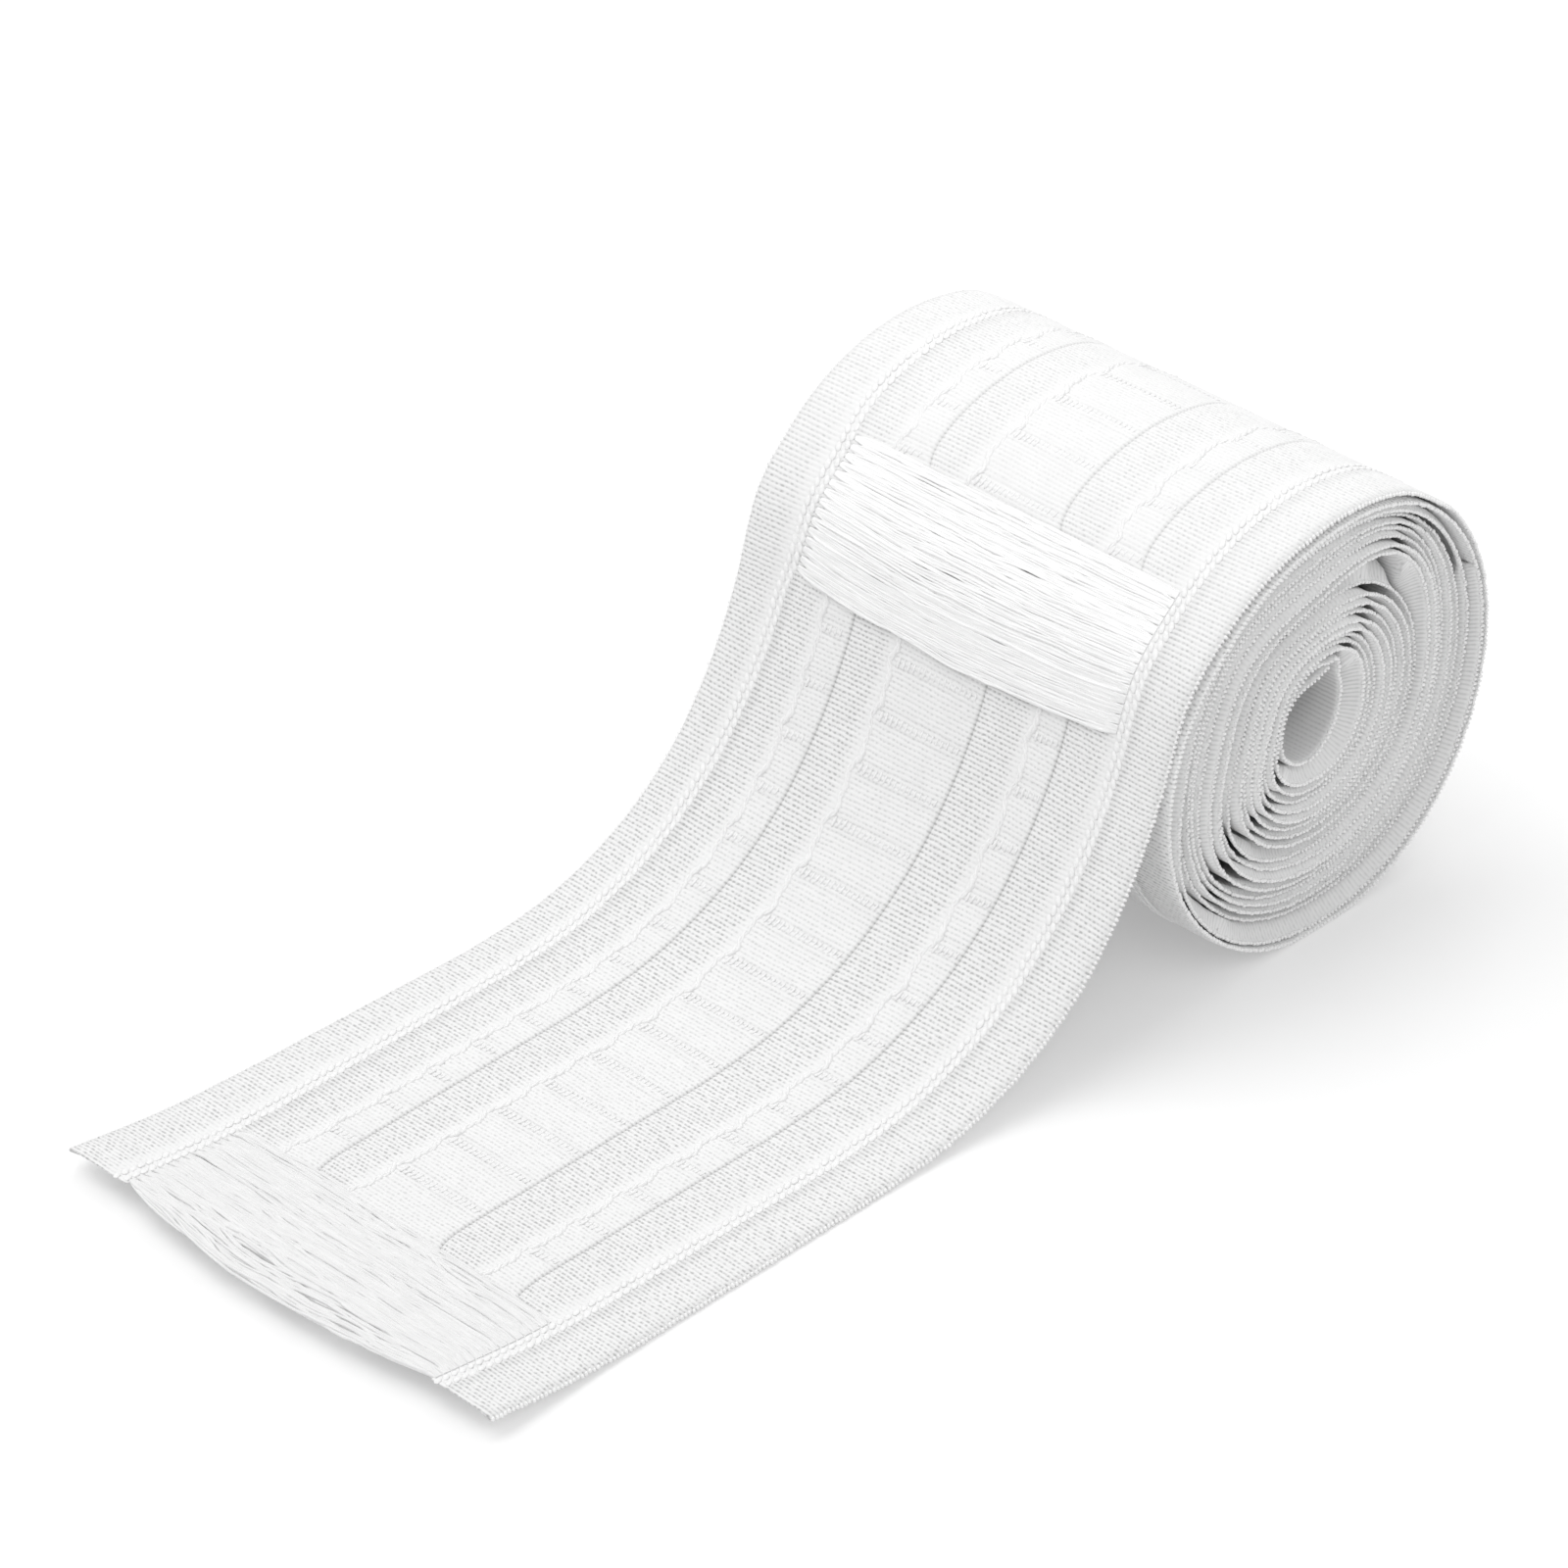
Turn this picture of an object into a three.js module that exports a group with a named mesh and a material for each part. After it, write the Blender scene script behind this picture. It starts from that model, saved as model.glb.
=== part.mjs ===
// A roll of woven curtain heading tape, 75 mm wide, lying on a small flat spot with its loose end
// running over the top, down the front and along the surface.
// Units are millimetres. +X runs across the tape, along the roll's axis; the loose end runs towards -Y.
import * as THREE from 'three';

// Driving sizes of the tape
const TAPE_WIDTH = 75;
const HALF_WIDTH = TAPE_WIDTH / 2;
const CLOTH = 1.0;                 // thickness of the loose end as a solid sheet
const TURN_HALF = 0.6;             // half of the outermost wound turn's thickness
const UNDER_TURN = 0.35;           // from a wound turn's middle down to its underside
const FACE_GAP = 0.3;              // air between pieces that lie on each other

// Places of the roll in the part's frame
const ROLL_Y = 59.5;               // the roll's middle, so that the part's box is centred on Y = 0
const CORE = { y: -5, z: 35 };     // centre of the hollow core, from the roll's middle and the surface

// The wound turns. Each row names a turn, counted from the outside, and gives its distance from the
// core's centre at eight angles, in winding order: from the front over the top, to the back and below.
// Turns between two rows are spaced evenly between them.
const TABLE_ANGLES = 8;
const FIRST_ANGLE = 180;
const TURN_ROWS = [
  { turn: 0, radii: [28.2, 25.4, 26.5, 31.6, 35.1, 37.0, 34.9, 30.7] },
  { turn: 1, radii: [26.9, 24.3, 25.3, 30.3, 33.8, 35.4, 33.1, 28.8] },
  { turn: 2, radii: [23.9, 23.2, 24.2, 29.0, 32.1, 33.6, 31.3, 27.3] },
  { turn: 3, radii: [22.9, 22.3, 22.8, 28.2, 30.5, 31.8, 29.8, 26.4] },
  { turn: 5, radii: [21.3, 20.6, 20.3, 26.4, 27.1, 28.1, 27.2, 24.6] },
  { turn: 8, radii: [16.6, 16.2, 16.4, 23.3, 23.2, 24.0, 23.0, 20.3] },
  { turn: 9, radii: [14.6, 13.9, 13.9, 18.6, 21.7, 22.6, 21.9, 19.2] },
  { turn: 10, radii: [13.2, 12.8, 12.8, 17.2, 19.6, 19.9, 19.4, 17.2] },
  { turn: 14, radii: [9.9, 9.8, 10.3, 12.4, 13.2, 14.0, 14.0, 12.8] },
  { turn: 17, radii: [7.8, 7.8, 8.4, 9.4, 9.1, 9.8, 9.9, 9.3] },
  { turn: 18, radii: [6.9, 6.6, 7.1, 6.0, 5.1, 5.5, 6.9, 7.0] },
  { turn: 19, radii: [5.9, 5.3, 4.9, 7.4, 7.6, 7.6, 7.6, 7.6] },
];
const FOLD = { turn: 18.34, height: 1.3, spread: 0.03 };   // the sharp bend at the tip of the core
const SLIP = { wave: 0.35, rate: 1.9, core: 0.7, coreFrom: 7, coreTo: 11 };   // turns slid along X
const DIP = { least: 0.35, most: 3.5, perGap: 0.9, closed: 0.6 };             // between the turns

// How the wound solid is divided; a turn has two samples on each end face, a ridge and a dip
const COLUMNS = 40;
const OUTER_COLUMN = 16;           // just behind the top, where the loose end takes over
const INNER_COLUMN = 13;           // the innermost turn's cut end, at the tip of the core
const INNER_TURN = 18;

// The loose end's underside: turns of the roll that it lies on, then its free run from the roll's middle
const SHEET_ARC = [0.4, 0.345, 0.29, 0.235, 0.18, 0.125, 0.07];
const SHEET_FREE = [
  [-33.3, 33.8], [-38.6, 23.6], [-46, 14.2], [-56, 6.7], [-69, 1.7], [-84, 0],
  [-101, 0], [-118, 0], [-134.5, 0.6], [-150.3, 2.6],
];
const SHEET_STATIONS = 54;
// How far each edge strays outwards, at even steps from the cut end to the roll's back
const EDGE_STRAY = {
  left: [0.4, 0.1, -0.5, -0.6, 0.1, 0.9, 0.3],
  right: [0.4, 0.1, 0.0, 0.0, -0.4, -0.2, 0.1],
};

// Lines woven along the tape: ridges stand up, grooves dip
const CORDS = [
  { x: -30.4, half: 1.3, rise: 0.5 },
  { x: 29.3, half: 1.3, rise: 0.5 },
];
const YARNS = [
  { x: -22.0, half: 0.6, rise: 0.35 },
  { x: -9.4, half: 0.6, rise: 0.35 },
  { x: 14.9, half: 0.6, rise: 0.35 },
];
const GROOVES = [
  { x: -17.0, half: 0.5, rise: -0.3 },
  { x: 6.0, half: 0.5, rise: -0.3 },
  { x: 20.1, half: 0.5, rise: -0.3 },
];

// Bands of loose threads that cross the tape from cord to cord; from and to are distances from the cut
const THREADS = { left: -28.2, right: 27.2, tuft: 1.8, steps: 12, least: 0.35, crest: 0.55 };
const UPPER_BAND = { from: 138.0, to: 157.2, bow: 0.8, sag: 0 };
const END_BAND = { from: 0.6, to: 19.2, bow: 0.6, sag: 0.8 };
const RECESS = { left: -28.6, right: 27.6, depth: 4.5, blend: 14 };   // the cloth's cut between the cords

const CLOTH_WHITE = 0xedeeec;
const THREAD_WHITE = 0xf7f8f8;

// Value of a smooth curve through evenly spaced values, at a place counted in values
function smoothValue(values, place) {
  const last = values.length - 1;
  const i = Math.min(Math.floor(place), last - 1);
  const t = place - i;
  const [before, start, end, after] = [i - 1, i, i + 1, i + 2].map(
    (n) => values[THREE.MathUtils.clamp(n, 0, last)],
  );
  const leave = (end - before) / 2;
  const arrive = (after - start) / 2;
  const cubic = 2 * start - 2 * end + leave + arrive;
  const square = -3 * start + 3 * end - 2 * leave - arrive;
  return ((cubic * t + square) * t + leave) * t + start;
}

// Distances from the core's centre at every table angle of every turn
function windingRadii() {
  const radii = [];
  TURN_ROWS.forEach((here, row) => {
    const next = TURN_ROWS[row + 1] ?? { turn: here.turn + 1, radii: here.radii };
    for (let turn = here.turn; turn < next.turn; turn += 1) {
      const share = (turn - here.turn) / (next.turn - here.turn);
      here.radii.forEach((radius, angle) => {
        radii.push(THREE.MathUtils.lerp(radius, next.radii[angle], share));
      });
    }
  });
  return radii;
}

const WINDING = windingRadii();

// Middle of the wound cloth after some number of turns from the front, counted inwards
function turnRadius(turns) {
  const fold = Math.exp(-(((turns - FOLD.turn) / FOLD.spread) ** 2));
  return smoothValue(WINDING, turns * TABLE_ANGLES) + FOLD.height * fold;
}

function turnSlip(turns) {
  const core = THREE.MathUtils.smoothstep(turns, SLIP.coreFrom, SLIP.coreTo);
  return SLIP.wave * Math.sin(SLIP.rate * turns) + SLIP.core * core;
}

// A place on the roll's side view, at a number of turns and a distance from the core's centre
function rollPlace(turns, radius) {
  const angle = THREE.MathUtils.degToRad(FIRST_ANGLE - 360 * turns);
  const y = CORE.y + radius * Math.cos(angle);
  const z = Math.max(CORE.z + radius * Math.sin(angle), 0);
  return [y, z];
}

// Collects the points and faces of one closed solid, around the roll's middle
class Solid {
  constructor() {
    this.points = [];
    this.faces = [];
  }

  add(x, [y, z]) {
    this.points.push(x, y + ROLL_Y, z);
    return this.points.length / 3 - 1;
  }

  // Joins rows of point numbers by two triangles for each cell
  grid(rows) {
    for (let r = 1; r < rows.length; r += 1) {
      for (let i = 1; i < rows[r].length; i += 1) {
        const [a, b, c, d] = [rows[r - 1][i - 1], rows[r][i - 1], rows[r][i], rows[r - 1][i]];
        this.faces.push(a, b, c, a, c, d);
      }
    }
  }

  // Fills an outline that is open to the front, as seen along Y
  fill(numbers, flipped) {
    const contour = numbers.map((n) => new THREE.Vector2(this.points[3 * n], this.points[3 * n + 2]));
    THREE.ShapeUtils.triangulateShape(contour, []).forEach(([a, b, c]) => {
      const [first, last] = flipped ? [c, a] : [a, c];
      this.faces.push(numbers[first], numbers[b], numbers[last]);
    });
  }

  // Closes a slab between its upper and lower rows of point numbers
  slab(upper, lower) {
    this.grid(upper);
    this.grid(lower.map((row) => row.slice().reverse()));
    this.grid(upper.map((row, r) => [row.at(-1), lower[r].at(-1)]));
    this.grid(upper.map((row, r) => [lower[r][0], row[0]]));
    [0, upper.length - 1].forEach((r) => {
      this.fill([...lower[r], ...upper[r].slice().reverse()], r === 0);
    });
  }

  mesh(name, colour, roughness) {
    const geometry = new THREE.BufferGeometry();
    geometry.setAttribute('position', new THREE.Float32BufferAttribute(this.points, 3));
    geometry.setIndex(this.faces);
    geometry.computeVertexNormals();
    const material = new THREE.MeshStandardMaterial({ color: colour, roughness, metalness: 0 });
    const mesh = new THREE.Mesh(geometry, material);
    mesh.name = name;
    return mesh;
  }
}

// First and last samples of a column, before the loose end takes over and after the core's cut end
function sampleRange(column) {
  return {
    first: column < OUTER_COLUMN ? 2 : 0,
    last: column <= INNER_COLUMN ? 2 * (INNER_TURN + 1) : 2 * INNER_TURN,
  };
}

// Outer face of the wound roll; on the second lap it is the turn that the loose end lies on
function outerRadius(column, lap) {
  const middle = turnRadius(lap + column / COLUMNS);
  if (lap === 0) return middle + TURN_HALF;
  return column < OUTER_COLUMN ? middle + FACE_GAP : middle;
}

// One point of an end face, on the side given by 1 or -1
function facePoint(side, column, sample) {
  const turns = Math.floor(sample / 2) + column / COLUMNS;
  const { first, last } = sampleRange(column);
  const ridge = side * HALF_WIDTH + turnSlip(turns);
  if (sample === first) return [ridge, rollPlace(turns, outerRadius(column, first / 2))];
  if (sample === last) return [ridge, rollPlace(turns, turnRadius(turns) - UNDER_TURN)];
  if (sample % 2 === 0) return [ridge, rollPlace(turns, turnRadius(turns))];
  const here = turnRadius(turns);
  const next = turnRadius(turns + 1);
  const depth = THREE.MathUtils.clamp(DIP.perGap * (here - next - DIP.closed), DIP.least, DIP.most);
  return [ridge - side * depth, rollPlace(turns, (here + next) / 2)];
}

// Columns of one full lap, from and back to a starting column
function lapColumns(start) {
  return Array.from({ length: COLUMNS + 1 }, (_, step) => ({
    column: (start + step) % COLUMNS,
    lap: start + step < COLUMNS ? 0 : 1,
  }));
}

// The wound roll: spiral turns as ridges on both end faces, around an open core
function woundRoll() {
  const solid = new Solid();
  const face = (side) => Array.from({ length: COLUMNS }, (_, column) => {
    const { first, last } = sampleRange(column);
    const samples = [];
    for (let sample = first; sample <= last; sample += 1) {
      samples[sample] = solid.add(...facePoint(side, column, sample));
    }
    return samples;
  });
  const [front, back] = [face(1), face(-1)];

  // After the last column, the winding goes on one turn further in
  for (let column = 0; column < COLUMNS; column += 1) {
    const next = (column + 1) % COLUMNS;
    const shift = next === 0 ? 2 : 0;
    const from = Math.max(sampleRange(column).first, sampleRange(next).first - shift);
    const to = Math.min(sampleRange(column).last, sampleRange(next).last - shift);
    [front, back].forEach((side) => {
      const rows = [side[column].slice(from, to + 1), side[next].slice(from + shift, to + shift + 1)];
      solid.grid(side === back ? rows : rows.reverse());
    });
  }

  // Outer face, with the two cords raised around it, and the step that the loose end butts on
  const ridges = CORDS.flatMap(({ x, half, rise }) => [[x - half, 0], [x, rise], [x + half, 0]]);
  const outer = lapColumns(OUTER_COLUMN).map(({ column, lap }) => {
    const turns = lap + column / COLUMNS;
    const middle = ridges.map(([x, rise]) => (
      solid.add(x, rollPlace(turns, outerRadius(column, lap) + rise * (1 - lap)))
    ));
    return [back[column][2 * lap], ...middle, front[column][2 * lap]];
  });
  solid.grid(outer.map((row) => row.slice().reverse()));
  const [frontDip, backDip] = [front, back].map((side) => side[OUTER_COLUMN][1]);
  solid.fill([...outer[0], frontDip, ...outer.at(-1).slice().reverse(), backDip], false);

  // Wall of the core, and the innermost turn's cut end
  const inner = lapColumns(INNER_COLUMN).map(({ column, lap }) => {
    const sample = 2 * (INNER_TURN + lap);
    return [back[column][sample], front[column][sample]];
  });
  solid.grid(inner);
  const cutSamples = [2, 1, 0].map((step) => 2 * INNER_TURN + step);
  solid.grid(cutSamples.map((sample) => [back[INNER_COLUMN][sample], front[INNER_COLUMN][sample]]));
  return solid;
}

// Underside of the loose end in side view, and its length
function tapeCurve() {
  const arc = SHEET_ARC.map((turns) => rollPlace(turns, turnRadius(turns) - UNDER_TURN));
  const knots = [...arc, ...SHEET_FREE].map(([y, z]) => new THREE.Vector2(y, z));
  const curve = new THREE.SplineCurve(knots);
  curve.arcLengthDivisions = 800;
  return curve;
}

const TAPE = tapeCurve();
const TAPE_LENGTH = TAPE.getLength();

// A place on the loose end, at a distance from its cut end and a height over its underside
function tapePlace(distance, height) {
  const share = THREE.MathUtils.clamp(1 - distance / TAPE_LENGTH, 0, 1);
  const point = TAPE.getPointAt(share);
  const along = TAPE.getTangentAt(share);
  const past = Math.max(-distance, 0);
  return [
    point.x + along.x * past + along.y * height,
    Math.max(point.y, 0) + along.y * past - along.x * height,
  ];
}

const inBand = (distance, { from, to }) => distance > from && distance < to;

// The loose end: one sheet with its woven lines, its wavering edges and its uneven cut
function looseEnd() {
  const solid = new Solid();
  const lines = [...CORDS, ...YARNS, ...GROOVES].flatMap((line) => [
    { x: line.x - line.half, rise: 0 }, { x: line.x, rise: line.rise, line },
    { x: line.x + line.half, rise: 0 },
  ]);
  const flat = (x) => ({ x, rise: 0 });
  const rims = [-HALF_WIDTH, RECESS.left, RECESS.right, HALF_WIDTH].map(flat);
  const feet = CORDS.flatMap(({ x, half }) => [flat(x - half), flat(x + half)]);
  const upperAcross = [...rims, ...lines].sort((a, b) => a.x - b.x);
  const lowerAcross = [...rims, ...feet].sort((a, b) => a.x - b.x);

  const row = (station, across, base) => across.map(({ x, rise, line }) => {
    const even = (TAPE_LENGTH - FACE_GAP) * (1 - station / (SHEET_STATIONS - 1));
    const cut = x >= RECESS.left && x <= RECESS.right ? RECESS.depth : 0;
    const distance = even + cut * (1 - THREE.MathUtils.smoothstep(even, 0, RECESS.blend));
    const stray = (side) => smoothValue(side, (distance / TAPE_LENGTH) * (side.length - 1));
    const covered = inBand(distance, UPPER_BAND) || inBand(distance, END_BAND);
    const raised = covered && !CORDS.includes(line) ? 0 : rise;
    const edge = x === -HALF_WIDTH ? -stray(EDGE_STRAY.left) : stray(EDGE_STRAY.right);
    const place = x + (Math.abs(x) === HALF_WIDTH ? edge : 0);
    const height = base === 0 ? 0 : base + raised;
    return solid.add(place, tapePlace(distance, height));
  });
  const stations = Array.from({ length: SHEET_STATIONS }, (_, station) => station);
  solid.slab(
    stations.map((station) => row(station, upperAcross, CLOTH)),
    stations.map((station) => row(station, lowerAcross, 0)),
  );
  return solid;
}

// One band of loose threads: a thin pad of tufts that bows at the front and thins out at the cords
function threadBand(band) {
  const solid = new Solid();
  const tufts = Math.round((band.to - band.from) / THREADS.tuft);
  const rows = Array.from({ length: 2 * tufts + 1 }, (_, line) => 1 - line / (2 * tufts));
  const across = Array.from({ length: THREADS.steps + 1 }, (_, step) => step / THREADS.steps);

  const row = (share, line, upper) => across.map((part) => {
    const swell = 1 - (2 * part - 1) ** 2;
    const x = THREE.MathUtils.lerp(THREADS.left, THREADS.right, part);
    const distance = THREE.MathUtils.lerp(band.from, band.to, share) - band.bow * swell * (1 - share) ** 2;
    const loose = band.sag * swell * (1 - THREE.MathUtils.smoothstep(distance, -2, RECESS.depth - 1));
    const base = CLOTH + FACE_GAP - loose;
    const crest = line % 2 === 1 ? THREADS.crest : 0;
    const height = base + (upper ? THREADS.least + crest * (0.3 + 0.7 * swell) : 0);
    return solid.add(x, tapePlace(distance, height));
  });
  solid.slab(
    rows.map((share, line) => row(share, line, true)),
    rows.map((share, line) => row(share, line, false)),
  );
  return solid;
}

const roll = new THREE.Group();
roll.add(
  woundRoll().mesh('wound_roll', CLOTH_WHITE, 0.9),
  looseEnd().mesh('loose_end', CLOTH_WHITE, 0.9),
  threadBand(UPPER_BAND).mesh('upper_threads', THREAD_WHITE, 0.6),
  threadBand(END_BAND).mesh('end_threads', THREAD_WHITE, 0.6),
);

export default roll;
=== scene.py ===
"""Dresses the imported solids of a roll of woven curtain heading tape.

The tape is followed from its cut end, up the front, over the roll's top and on through all the wound
turns to the core. A place on it is its run from the cut end, its place across the tape and its height
over the middle of the cloth. The tables are in millimetres unless they say otherwise, and MM turns them
into Blender's metres.
"""

import math

import bpy
import numpy as np
from bpy.props import FloatProperty, FloatVectorProperty, IntProperty, PointerProperty
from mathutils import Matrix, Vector


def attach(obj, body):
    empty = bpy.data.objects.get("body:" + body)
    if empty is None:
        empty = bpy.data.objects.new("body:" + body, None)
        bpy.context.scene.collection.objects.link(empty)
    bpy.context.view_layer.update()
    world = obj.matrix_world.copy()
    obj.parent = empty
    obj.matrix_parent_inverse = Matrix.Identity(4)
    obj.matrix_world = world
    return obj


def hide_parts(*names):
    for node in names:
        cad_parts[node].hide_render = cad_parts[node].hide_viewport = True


bl_info = {
    "name": "Curtain Heading Tape Roll",
    "version": (1, 0, 0),
    "blender": (4, 5, 0),
    "location": "3D View > Sidebar > Heading Tape",
    "description": "Dresses the packed solids of a roll of woven curtain heading tape",
    "category": "Add Mesh",
}

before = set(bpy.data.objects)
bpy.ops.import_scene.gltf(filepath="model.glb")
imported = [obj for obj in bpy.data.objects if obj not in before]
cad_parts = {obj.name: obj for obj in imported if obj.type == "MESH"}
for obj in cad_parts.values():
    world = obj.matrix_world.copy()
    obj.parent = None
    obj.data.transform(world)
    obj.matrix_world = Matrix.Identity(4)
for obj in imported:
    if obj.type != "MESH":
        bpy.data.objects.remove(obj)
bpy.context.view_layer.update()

MM = 0.001

# Sizes of the tape and places of the roll, as in the solids but for turn 1, which lies up to 1 mm
# further out. A turn's row holds its distances from the core at even steps round it.
HALF_WIDTH = 37.5
ROLL_Y = 59.5
CORE_Y = -5.0
CORE_Z = 35.0
FIRST_ANGLE = 180.0
TABLE_ANGLES = 8
TURN_ROWS = (
    (0, (28.2, 25.4, 26.5, 31.6, 35.1, 37.0, 34.9, 30.7)),
    (1, (26.9, 24.3, 25.3, 30.3, 34.2, 36.1, 34.0, 29.8)),
    (2, (23.9, 23.2, 24.2, 29.0, 32.1, 33.6, 31.3, 27.3)),
    (3, (22.9, 22.3, 22.8, 28.2, 30.5, 31.8, 29.8, 26.4)),
    (5, (21.3, 20.6, 20.3, 26.4, 27.1, 28.1, 27.2, 24.6)),
    (8, (16.6, 16.2, 16.4, 23.3, 23.2, 24.0, 23.0, 20.3)),
    (9, (14.6, 13.9, 13.9, 18.6, 21.7, 22.6, 21.9, 19.2)),
    (10, (13.2, 12.8, 12.8, 17.2, 19.6, 19.9, 19.4, 17.2)),
    (14, (9.9, 9.8, 10.3, 12.4, 13.2, 14.0, 14.0, 12.8)),
    (17, (7.8, 7.8, 8.4, 9.4, 9.1, 9.8, 9.9, 9.3)),
    (18, (6.9, 6.6, 7.1, 6.0, 5.1, 5.5, 6.9, 7.0)),
    (19, (5.9, 5.3, 4.9, 7.4, 7.6, 7.6, 7.6, 7.6)),
)
FOLD_TURN = 18.34
FOLD_HEIGHT = 1.3
FOLD_SPREAD = 0.03
SLIP_WAVE = 0.35
SLIP_RATE = 1.9
SLIP_CORE = 0.7
SLIP_CORE_TURNS = (7, 11)
SET_BACK = 1.3
SET_BACK_TURNS = ((2.3, 8.5), (8.6, 13.5))
WOUND_FROM = 0.4
OUTER_TURN_TO = 1.46
CORE_END = 19.32
LOOSE_ARC = (0.4, 0.345, 0.29, 0.235, 0.18, 0.125, 0.07)
LOOSE_FREE = (
    (-33.3, 33.8), (-38.6, 23.6), (-46, 14.2), (-56, 6.7), (-69, 1.7), (-84, 0),
    (-101, 0), (-118, 0), (-134.5, 0.6), (-150.3, 2.6),
)

# Half of the cloth's thickness on the loose end, and on the turns wound inside it
LOOSE_HALF = 0.35
WOUND_HALF = 0.31

# The selvedges: how thin their columns are, and how far out the cloth's rounded edge lies
EDGE_THIN = 0.6
EDGE_TIP = HALF_WIDTH + 0.12

# Places along the line of the loose end and of the wound turns, and of the cloth in one rib
LOOSE_PLACES = 6000
WOUND_PLACES = 60000
LOOSE_RIB_STEPS = 4
WOUND_RIB_STEPS = 3

# Lines woven along the tape, by their place across it
CORDS = (-30.3, 29.1)
YARNS = (-22.0, -9.4, 14.9)
GROOVES = (-17.0, 6.0, 20.1)
POCKETS = ((-21.5, -17.3), (-8.8, 5.7), (15.4, 19.8))
CORD_HALF = 1.35

# How far each line strays to +X, at even steps from the cut end to where the roll takes over
STRAY = {
    -37.5: (-0.4, -0.1, 0.5, 0.6, -0.1, -0.9, -0.3),
    -30.3: (1.7, 1.0, 0.3, 0.1, 0.6, 0.3, 0.0),
    -22.0: (1.4, 1.1, 0.2, 0.0, 0.1, 0.1, 0.0),
    -17.0: (1.8, 0.9, 0.1, 0.0, 0.2, -0.1, -0.3),
    -9.4: (0.9, 0.7, 0.3, 0.3, 0.5, 0.5, 0.0),
    6.0: (0.6, 0.2, -0.2, -0.2, 0.7, -0.2, -0.4),
    14.9: (0.4, 0.3, 0.1, 0.1, 0.6, -0.1, 0.0),
    20.1: (0.2, 0.1, -0.1, -0.1, 0.4, -0.2, -0.3),
    29.1: (0.0, 0.0, 0.0, -0.1, 0.4, 0.1, 0.0),
    37.5: (0.4, 0.1, 0.0, 0.0, -0.4, -0.2, 0.1),
}

# How far the grooves swerve to +X where a band of loose threads begins, and how far that reaches
HOOK = 1.6
HOOK_REACH = 2.4
HOOK_SPREAD = 1.6

# How far the left cord is drawn in beside the upper band of loose threads
DRAWN_IN = 1.0
DRAWN_REACH = 2.5

# Stretches across the tape: from, to, how many columns, rib height and depth of the weave's dots
STRETCHES = (
    (-37.5, -31.65, 5, 1.0, 0.9),
    (-31.65, -28.95, 4, 0.4, 0.2),
    (-28.95, -22.6, 4, 1.0, 1.0),
    (-22.6, -21.4, 2, 0.3, 0.2),
    (-21.4, -17.5, 3, 0.6, 0.45),
    (-17.5, -17.25, 1, 0.6, 0.5),
    (-17.25, -16.75, 2, 0.5, 0.6),
    (-16.75, -16.5, 1, 0.9, 0.9),
    (-16.5, -10.1, 4, 1.0, 1.0),
    (-10.1, -8.7, 2, 0.3, 0.2),
    (-8.7, 5.5, 8, 0.6, 0.45),
    (5.5, 5.75, 1, 0.6, 0.5),
    (5.75, 6.25, 2, 0.5, 0.6),
    (6.25, 6.5, 1, 0.9, 0.9),
    (6.5, 14.3, 5, 1.0, 1.0),
    (14.3, 15.5, 2, 0.3, 0.2),
    (15.5, 19.6, 3, 0.6, 0.45),
    (19.6, 19.85, 1, 0.6, 0.5),
    (19.85, 20.35, 2, 0.5, 0.6),
    (20.35, 20.6, 1, 0.9, 0.9),
    (20.6, 27.75, 4, 1.0, 1.0),
    (27.75, 30.45, 4, 0.4, 0.2),
    (30.45, 37.5, 5, 1.0, 0.9),
)
UNDER_COLUMNS = 7

# The camera's direction in side view, which says which way the turns wound inside lean
CAMERA_UP = 0.55
CAMERA_AWAY = 0.63

# Columns of the turns wound inside, and how they lean against each other behind the end faces
INNER_ACROSS = (-37.5, -37.1, -36.6, -35.6, -34.3, -32.5, -15, 15, 32.5, 34.3, 35.6, 36.6, 37.1, 37.5)
INNER_LEAN_DEPTH = 3.0
INNER_LEAN_SPARE = -0.04
INNER_LEAN_TURNS = 17.9

# Turn from which the cloth's places lie closer, for the fold in the core
FINE_TURNS_FROM = 18.2

# Bands of loose threads, by their runs from the cut end, and the cloth's cut between the cords
UPPER_BAND = (137.1, 157.0)
END_BAND = (0.4, 19.3)
RECESS_DEPTH = 4.5
RECESS_BLEND = 14.0
RECESS_LEFT = -28.6
RECESS_RIGHT = 27.6

# Rungs that close the pockets: the ones that show, then even steps round the roll
RUNGS = (
    28.4, 36.9, 45.4, 53.6, 61.9, 70.4, 78.4, 86.4, 93.9, 101.9, 109.7, 117.4, 124.8, 132.4,
    158.5, 166.7, 175.0, 183.5,
)
RUNG_STEP = 8.0

# Runs between which the roll's brightly lit top ends, where the weave's dots and shade are painted
# fainter as painted light
LIT_TOP_END = (200, 230)

# Pocket yarns: the run in which the two plies go round each other once, and a ply's radius
YARN_TWIST = 2.6
YARN_RADIUS = 0.27

# Loose threads: their radius, and how far their ends go into the cords
THREAD_RADIUS = 0.185
THREAD_HOLD = 0.15

# How near the floor the middle of a stitch may come
STITCH_CLEAR = 0.16

# Where the camera stands and looks, from the roll's middle, and its lens in millimetres
CAMERA_PLACE = (481.2, -552.3, 481.4)
CAMERA_TARGET = (-31.3, -30.8, 4.5)
CAMERA_LENS = 149.54
SENSOR = 36.0

# Lights, in metres: name, place, the place it faces, size and the setting that holds its power
LIGHTS = (
    ("Overhead", (-0.45, -0.3, 1.0), (0, 0, 0.03), (1.2, 1.0), "key_power"),
    ("Fill", (0.7, -0.3, 0.85), (0, 0.05, 0.03), (0.6, 0.6), "fill_power"),
    ("Rear", (-0.05, 0.28, 0.42), (0, 0.07, 0.06), (0.25, 0.25), "rear_power"),
)

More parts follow.
